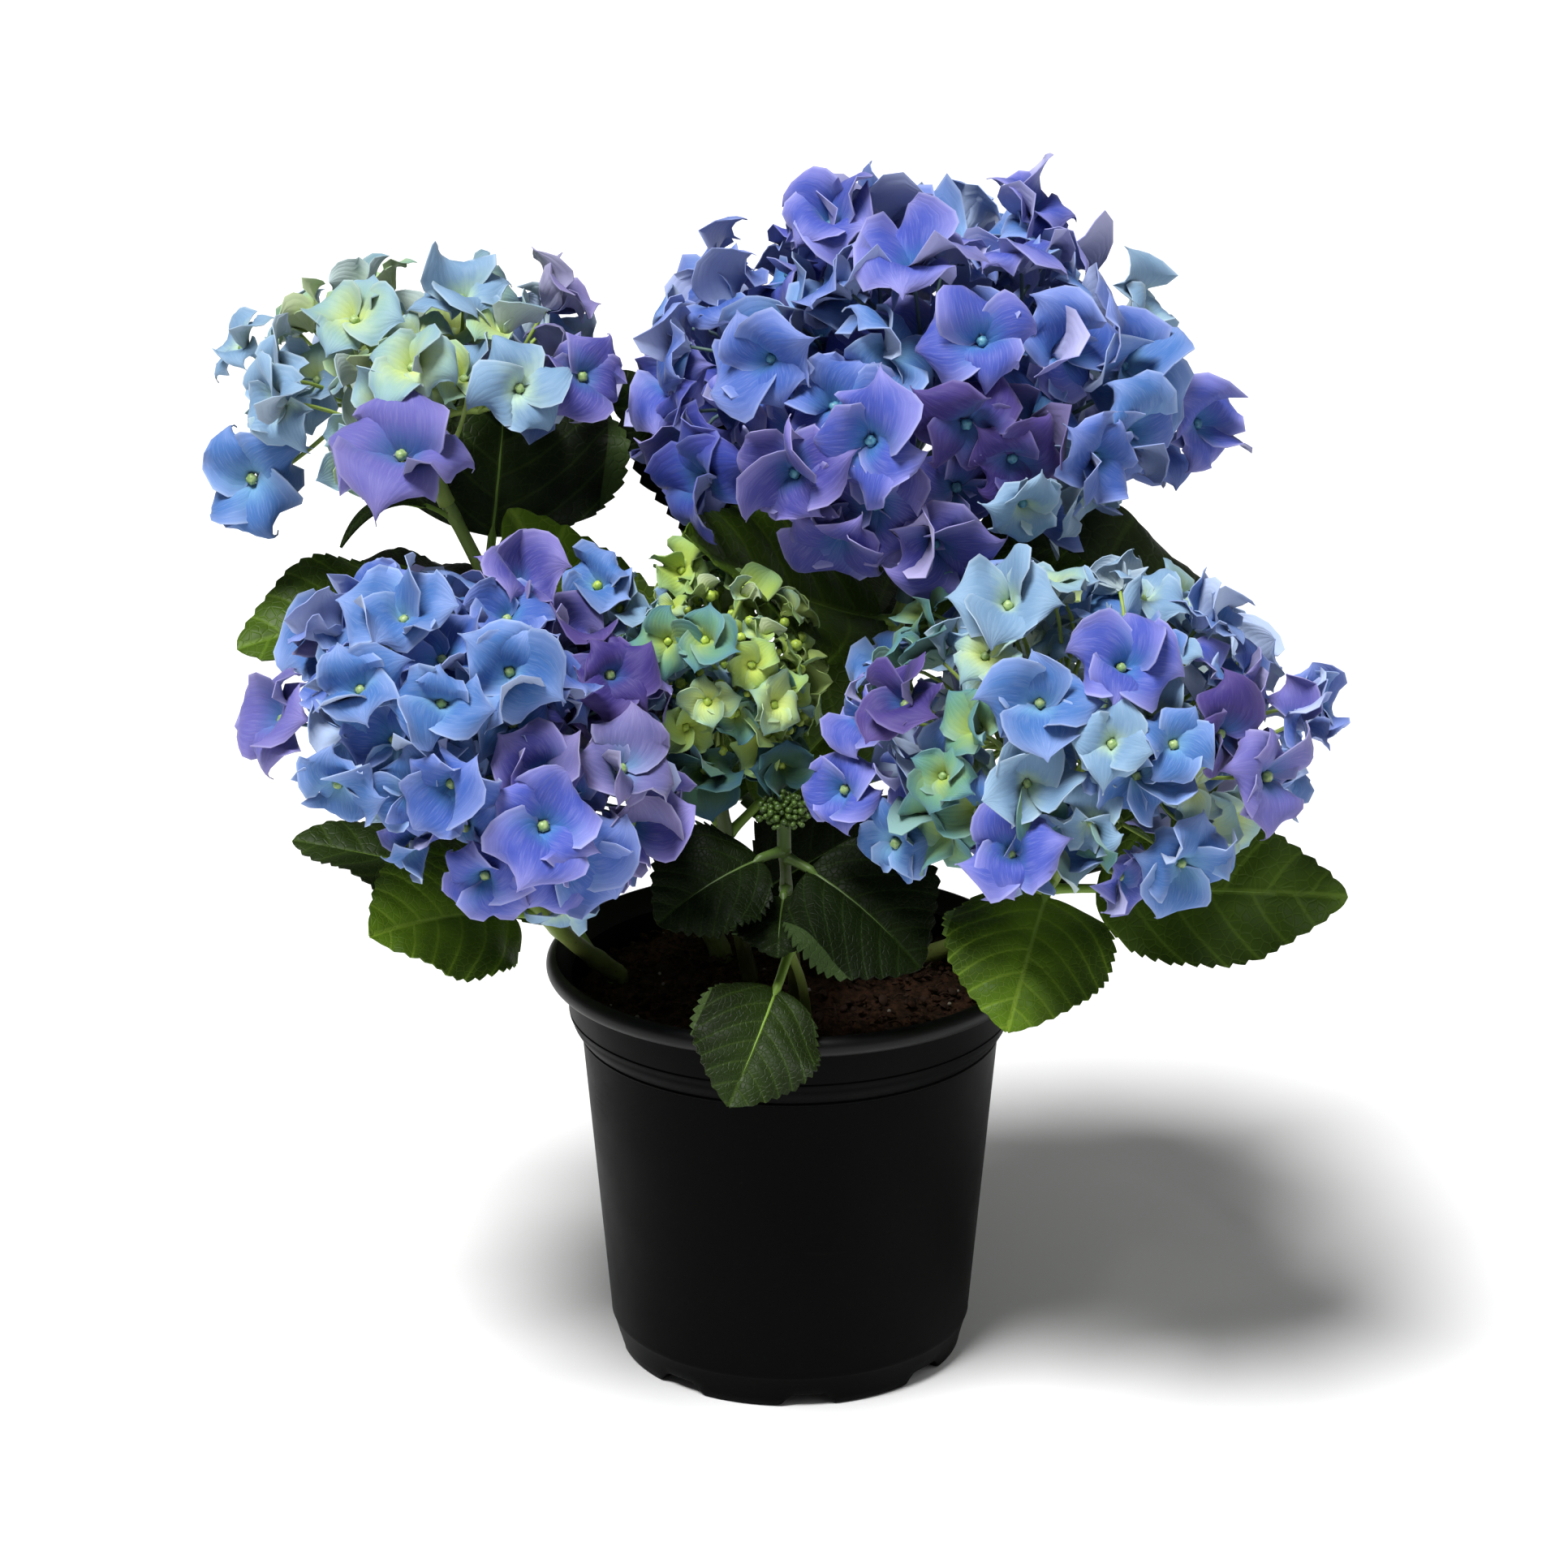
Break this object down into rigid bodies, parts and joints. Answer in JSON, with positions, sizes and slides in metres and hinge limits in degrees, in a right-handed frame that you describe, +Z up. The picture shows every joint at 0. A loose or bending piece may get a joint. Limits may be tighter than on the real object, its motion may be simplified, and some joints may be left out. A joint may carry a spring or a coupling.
{
  "type": "potted mophead hydrangea",
  "caption": "Potted mophead hydrangea: blue, violet and aqua flower heads and toothed leaves on green stems in a black tapered nursery pot.",
  "frame": {"origin": "middle of the pot's flat underside", "axes": "+Z up, -Y towards the front with the two low flower heads, +X to the right seen from the front"},
  "size_m": [0.3848, 0.2685, 0.4089],
  "materials": {
    "pot": "satin black, faint scuffs",
    "compost": "crumbly, matte",
    "stem": "smooth green shoots with brown specks",
    "leaf": "satin, veined and quilted",
    "petals_violet_blue": "soft matte",
    "petals_pale_aqua": "soft matte",
    "petals_cornflower": "soft matte",
    "petals_light_blue": "soft matte",
    "petals_young_green": "soft matte",
    "buds_green": "matte"
  },
  "bodies": {
    "root": {"pot": "pot", "soil": "compost", "stem_top": "stem", "stem_upper_left": "stem", "stem_lower_left": "stem", "stem_right": "stem", "stem_middle": "stem", "stem_bud": "stem", "stem_front": "stem", "leaf_upper_left_back": "leaf", "leaf_upper_left_side": "leaf", "leaf_upper_left_dark": "leaf", "bract_upper_left": "leaf", "leaf_upper_left_rear": "leaf", "leaf_upper_left_low": "leaf", "leaf_top_front": "leaf", "leaf_top_under": "leaf", "leaf_top_right": "leaf", "leaf_top_left": "leaf", "leaf_top_rear_left": "leaf", "leaf_top_rear_right": "leaf", "leaf_top_low": "leaf", "leaf_top_lowest": "leaf", "leaf_middle_back": "leaf", "leaf_middle_right": "leaf", "leaf_middle_rear": "leaf", "leaf_middle_low": "leaf", "leaf_bud_left": "leaf", "leaf_bud_right": "leaf", "leaf_bud_front": "leaf", "leaf_front": "leaf", "leaf_right_front": "leaf", "leaf_right_side": "leaf", "leaf_right_rear": "leaf", "leaf_right_back": "leaf", "leaf_lower_left_dark": "leaf", "leaf_lower_left_low": "leaf", "leaf_lower_left_rear": "leaf", "leaf_lower_left_lowest": "leaf", "head_top": "petals_violet_blue", "head_upper_left": "petals_pale_aqua", "head_lower_left": "petals_cornflower", "head_right": "petals_light_blue", "head_middle": "petals_young_green", "head_bud": "buds_green"}
  },
  "joints": []
}
